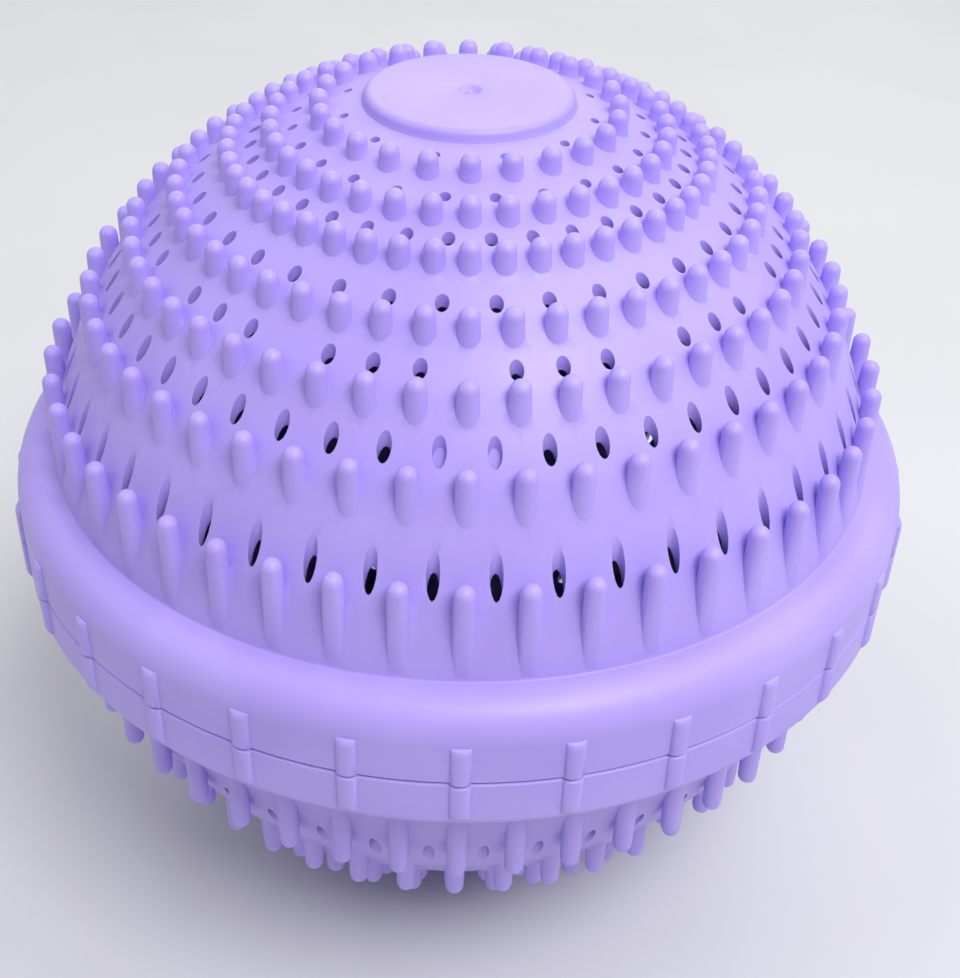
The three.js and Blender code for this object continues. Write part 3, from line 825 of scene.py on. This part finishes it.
class LAUNDRY_BALL_OT_half_shells(bpy.types.Operator):
    """Make the two studded, perforated half shells with their collars and twist lock"""
    bl_idname = "laundry_ball.half_shells"
    bl_label = "Half Shells"

    def execute(self, context):
        ball = context.scene.laundry_ball
        material = lavender_plastic("shell_lavender", ball.finish, roughness=(0.40, 0.50))
        upper = self.half("upper_shell_studded", ball, ball.shell.shoulder)
        lower = self.half("lower_shell_studded", ball, ball.shell.lower_shoulder)
        lower.data.transform(Matrix.Rotation(math.pi, 4, "X"))
        self.cut_socket(upper, ball)
        self.add_pin(upper, ball)
        self.add_spigot(lower, ball)
        self.add_guides(lower, ball)
        for obj, node, body in ((upper, "upper_shell", "upper_half"), (lower, "lower_shell", "lower_half")):
            shade(obj, material)
            put_in_frame(obj, node, body)
        return {"FINISHED"}

    def half(self, name, ball, shoulder):
        """Half shell with its own rounding at the collar"""
        return new_object(name, HalfShell(ball.shell, ball.lock, shoulder).mesh(name))

    def spigot_radii(self, ball):
        """Inside and outside of the spigot"""
        inner = ball.shell.dome_radius - ball.shell.wall + ball.lock.spigot_step
        return inner, inner + ball.lock.spigot_wall

    def cut_socket(self, upper, ball):
        """Socket for the spigot, with an entry and a run for each lug"""
        lock, gap = ball.lock, ball.shell.seam_gap
        spigot_inner, spigot_outer = self.spigot_radii(ball)
        core = spigot_inner - 4 * ball.shell.wall
        reach = spigot_outer + lock.turn_clearance
        top = lock.spigot_height + lock.clearance
        socket = turned_ring([(core, -gap), (reach, -gap), (reach, top), (core, top)], "socket")
        reshape(upper, socket, "DIFFERENCE")
        outer = spigot_outer + lock.lug_proud + lock.turn_clearance
        slack = lock.clearance / outer
        ceiling = lock.lug_top + lock.clearance
        floor = lock.lug_top - lock.lug_height - lock.clearance
        for azimuth in even_azimuths(lock.lug_count):
            start = azimuth - lock.lug_angle / 2 - slack
            end = azimuth + lock.lug_angle / 2 + slack
            entry = ring_sector(spigot_outer, outer, start, end, -gap, ceiling, "lug_entry")
            run = ring_sector(spigot_outer, outer, start, end + lock.lock_angle, floor, ceiling, "lug_run")
            reshape(upper, entry, "DIFFERENCE")
            reshape(upper, run, "DIFFERENCE")

    def add_pin(self, upper, ball):
        """Snap pin under the ceiling for the divider"""
        lock = ball.lock
        ceiling = ball_height(ball.shell.dome_radius - ball.shell.wall, ball.shell.ceiling_radius)
        head_top = ceiling - 2 * lock.clearance - ball.divider.hub_web
        end = head_top - lock.pin_head_height
        head = lock.pin_radius + lock.pin_head
        profile = [
            (lock.pin_radius * PIN_POINT, end),
            (lock.pin_radius, end + lock.clearance / 2),
            (head, head_top - lock.pin_head_height / 2),
            (head, head_top - lock.clearance / 2),
            (head - lock.clearance / 2, head_top),
            (lock.pin_radius, head_top),
            (lock.pin_radius, ceiling + ball.shell.wall / 2),
        ]
        reshape(upper, turned_rod(profile, "pin"), "UNION")

    def add_spigot(self, lower, ball):
        """Ring over the seam that centres the upper half, with the lock's lugs"""
        lock = ball.lock
        inner, outer = self.spigot_radii(ball)
        edge = lock.clearance
        profile = [
            (inner, -ball.shell.collar_wall),
            (outer, -ball.shell.collar_wall),
            (outer, lock.spigot_height - edge),
            (outer - edge, lock.spigot_height),
            (inner + edge, lock.spigot_height),
            (inner, lock.spigot_height - edge),
        ]
        reshape(lower, turned_ring(profile, "spigot"), "UNION")
        for azimuth in even_azimuths(lock.lug_count):
            lug = ring_sector(
                outer - lock.spigot_wall / 2, outer + lock.lug_proud, azimuth - lock.lug_angle / 2,
                azimuth + lock.lug_angle / 2, lock.lug_top - lock.lug_height, lock.lug_top, "lug")
            reshape(lower, lug, "UNION")

    def add_guides(self, lower, ball):
        """Pairs of fins on the bowl's wall that keep the vanes from turning"""
        lock = ball.lock
        inner = ball.shell.dome_radius - ball.shell.wall
        wall = inner + ball.shell.wall / 2
        bottom = -lock.guide_top - lock.guide_length
        heights = [bottom + lock.guide_length * step / GUIDE_STEPS for step in range(GUIDE_STEPS + 1)]
        outline = [Vector((inner - lock.guide_depth, heights[0]))]
        outline += [Vector((ball_height(wall, height), height)) for height in heights]
        outline.append(Vector((inner - lock.guide_depth, heights[-1])))
        offset = ball.divider.vane_thickness / 2 + lock.clearance
        for azimuth in even_azimuths(ball.divider.vane_count):
            for side in (offset, -offset - lock.guide_thickness):
                fin = plate(outline, [], side, side + lock.guide_thickness, azimuth, "guide")
                reshape(lower, fin, "UNION")


class LAUNDRY_BALL_OT_divider(bpy.types.Operator):
    """Make the slotted divider that hangs in the upper half"""
    bl_idname = "laundry_ball.divider"
    bl_label = "Bead Divider"

    def execute(self, context):
        ball = context.scene.laundry_ball
        divider = new_object("bead_divider_slotted", self.hub(ball))
        for azimuth in even_azimuths(ball.divider.vane_count):
            reshape(divider, self.vane(ball, azimuth), "UNION")
        bevel = divider.modifiers.new("rounded_edges", "BEVEL")
        bevel.width = ball.divider.edge_rounding
        bevel.segments = EDGE_SEGMENTS
        bevel.angle_limit = ROUNDED_ANGLE
        bevel.limit_method = "ANGLE"
        shade(divider, lavender_plastic("divider_lavender", ball.finish, roughness=(0.56, 0.68)))
        put_in_frame(divider, "bead_divider", "divider")
        return {"FINISHED"}

    def hub(self, ball):
        """Round hub, open at the top for the pin, with a pocket for the pin's head"""
        lock = ball.lock
        ceiling = ball_height(ball.shell.dome_radius - ball.shell.wall, ball.shell.ceiling_radius)
        top = ceiling - lock.clearance
        web_bottom = top - ball.divider.hub_web
        pocket_bottom = web_bottom - lock.pin_head_height - 2 * lock.clearance
        bore = lock.pin_radius + lock.clearance
        pocket = lock.pin_radius + lock.pin_head + lock.turn_clearance
        profile = [
            (ball.divider.hub_radius, -top),
            (ball.divider.hub_radius, top),
            (bore, top),
            (bore, web_bottom),
            (pocket, web_bottom),
            (pocket, pocket_bottom),
        ]
        return turned_rod(profile, "bead_divider_slotted")

    def vane(self, ball, azimuth):
        """Plate from the hub to the shells, with round-ended slots for the water"""
        sizes = ball.divider
        shell_radius = ball.shell.dome_radius - ball.shell.wall
        reach = shell_radius - sizes.edge_gap
        root = sizes.hub_radius - sizes.vane_thickness / 2
        steep = math.asin(root / reach)
        sweep = math.pi - 2 * steep
        tilts = [math.pi - steep - sweep * step / VANE_STEPS for step in range(VANE_STEPS + 1)]
        outline = [Vector((reach * math.sin(tilt), reach * math.cos(tilt))) for tilt in tilts]
        slots = []
        width = sizes.window_width
        near = sizes.hub_radius + sizes.window_gap
        while (end := ball_height(shell_radius, near + width) - sizes.window_rim) > width:
            slots.append(self.slot_outline(near + width / 2, width / 2, end - width / 2))
            near += width + sizes.window_gap
        half_thickness = sizes.vane_thickness / 2
        return plate(outline, slots, -half_thickness, half_thickness, azimuth, "vane")

    def slot_outline(self, middle, half, straight):
        """Upright slot about a distance from the axis, straight up to a height and round at both ends"""
        points = []
        for step in range(SLOT_STEPS + 1):
            turn = math.pi * step / SLOT_STEPS
            points.append(Vector((middle + half * math.cos(turn), straight + half * math.sin(turn))))
        return points + [Vector((2 * middle - point.x, -point.y)) for point in points]


class LAUNDRY_BALL_OT_beads(bpy.types.Operator):
    """Make the ceramic beads, each a little out of round"""
    bl_idname = "laundry_ball.beads"
    bl_label = "Ceramic Beads"

    def execute(self, context):
        finish = context.scene.laundry_ball.finish
        for kind in BEAD_KINDS:
            clay = fired_clay(f"{kind}_clay", getattr(finish, kind), finish.clay_speck)
            for number in range(1, BEADS_PER_KIND + 1):
                self.bead(f"{kind}_bead_{number}", f"{kind}_ceramic", clay)
        return {"FINISHED"}

    def bead(self, node, slot, clay):
        """One bead in the place and size of its CAD node"""
        low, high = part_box(node)
        middle = (low + high) / 2
        radius = (high.z - low.z) / 2
        shape = bmesh.new()
        bmesh.ops.create_icosphere(shape, subdivisions=BEAD_SUBDIVISIONS, radius=1)
        for vertex in shape.verts:
            lumps = unevenness(vertex.co, middle, *BEAD_LUMPS)
            pits = unevenness(vertex.co, middle, *BEAD_PITS)
            vertex.co *= radius * (BEAD_MEAN + lumps + pits)
        bmesh.ops.translate(shape, verts=shape.verts, vec=middle)
        mesh = bpy.data.meshes.new(f"{node}_fired")
        shape.to_mesh(mesh)
        shape.free()
        obj = new_object(f"{node}_fired", mesh)
        mesh.shade_smooth()
        mesh.materials.append(clay)
        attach(obj, "lower_half")
        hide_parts(node)


class LAUNDRY_BALL_OT_stage(bpy.types.Operator):
    """Make the pale floor, the soft light and the camera"""
    bl_idname = "laundry_ball.stage"
    bl_label = "Stage"

    def execute(self, context):
        stage = context.scene.laundry_ball.stage
        context.scene.view_settings.view_transform = "Standard"
        self.floor(stage)
        self.sky(context, stage)
        for name, (place, size, power) in LAMPS.items():
            self.lamp(context, name, Vector(place), size, power)
        self.camera(context, stage)
        return {"FINISHED"}

    def floor(self, stage):
        """Wide plain floor under the ball"""
        shape = bmesh.new()
        bmesh.ops.create_grid(shape, x_segments=FLOOR_CELLS, y_segments=FLOOR_CELLS, size=stage.floor_reach)
        mesh = bpy.data.meshes.new("floor")
        shape.to_mesh(mesh)
        shape.free()
        mesh.materials.append(pale_floor("pale_floor", stage.floor_color, stage.floor_mottle))
        new_object("floor", mesh)

    def sky(self, context, stage):
        """Even light from all sides"""
        world = bpy.data.worlds.new("studio")
        world.use_nodes = True
        background = world.node_tree.nodes["Background"]
        background.inputs["Color"].default_value = (*stage.sky_color, 1)
        background.inputs["Strength"].default_value = stage.sky_strength
        context.scene.world = world

    def lamp(self, context, name, place, size, power):
        """Soft round lamp that shines on the ball's centre"""
        light = bpy.data.lights.new(name, "AREA")
        light.shape = "DISK"
        light.size = size
        light.energy = power
        lamp = bpy.data.objects.new(name, light)
        context.scene.collection.objects.link(lamp)
        lamp.location = CENTRE + place
        lamp.rotation_mode = "QUATERNION"
        lamp.rotation_quaternion = (-place).to_track_quat("-Z", "Y")

    def camera(self, context, stage):
        """Camera at the photograph's angle"""
        camera = bpy.data.cameras.new("camera")
        camera.sensor_width = SENSOR_WIDTH
        camera.lens = stage.lens
        camera.shift_x, camera.shift_y = stage.shift
        camera.clip_start, camera.clip_end = CLIP_RANGE
        obj = bpy.data.objects.new("camera", camera)
        context.scene.collection.objects.link(obj)
        across = polar(math.cos(stage.camera_elevation), stage.camera_azimuth)
        back = Vector((across.x, across.y, math.sin(stage.camera_elevation)))
        obj.location = CENTRE + back * stage.camera_distance
        obj.rotation_mode = "QUATERNION"
        roll = Matrix.Rotation(stage.camera_roll, 3, "Z").to_quaternion()
        obj.rotation_quaternion = (-back).to_track_quat("-Z", "Y") @ roll
        context.scene.camera = obj


class LAUNDRY_BALL_PT_panel(bpy.types.Panel):
    """Lists the settings and the pieces in the sidebar"""
    bl_idname = "LAUNDRY_BALL_PT_panel"
    bl_label = "Laundry Ball"
    bl_space_type = "VIEW_3D"
    bl_region_type = "UI"
    bl_category = "Laundry Ball"

    def draw(self, context):
        ball = context.scene.laundry_ball
        for group in (ball.shell, ball.lock, ball.divider, ball.finish, ball.stage):
            column = self.layout.column(align=True)
            for name in group.__annotations__:
                column.prop(group, name)
        for operator in OPERATORS:
            self.layout.operator(operator.bl_idname)


OPERATORS = (
    LAUNDRY_BALL_OT_half_shells,
    LAUNDRY_BALL_OT_divider,
    LAUNDRY_BALL_OT_beads,
    LAUNDRY_BALL_OT_stage,
)
CLASSES = (
    ShellSizes,
    LockSizes,
    DividerSizes,
    Finishes,
    StageSettings,
    BallSettings,
    *OPERATORS,
    LAUNDRY_BALL_PT_panel,
)


def register():
    for cls in CLASSES:
        bpy.utils.register_class(cls)
    bpy.types.Scene.laundry_ball = bpy.props.PointerProperty(type=BallSettings)


def unregister():
    del bpy.types.Scene.laundry_ball
    for cls in reversed(CLASSES):
        bpy.utils.unregister_class(cls)


def main():
    register()
    bpy.ops.laundry_ball.half_shells()
    bpy.ops.laundry_ball.divider()
    bpy.ops.laundry_ball.beads()
    bpy.ops.laundry_ball.stage()


if __name__ == "__main__":
    main()
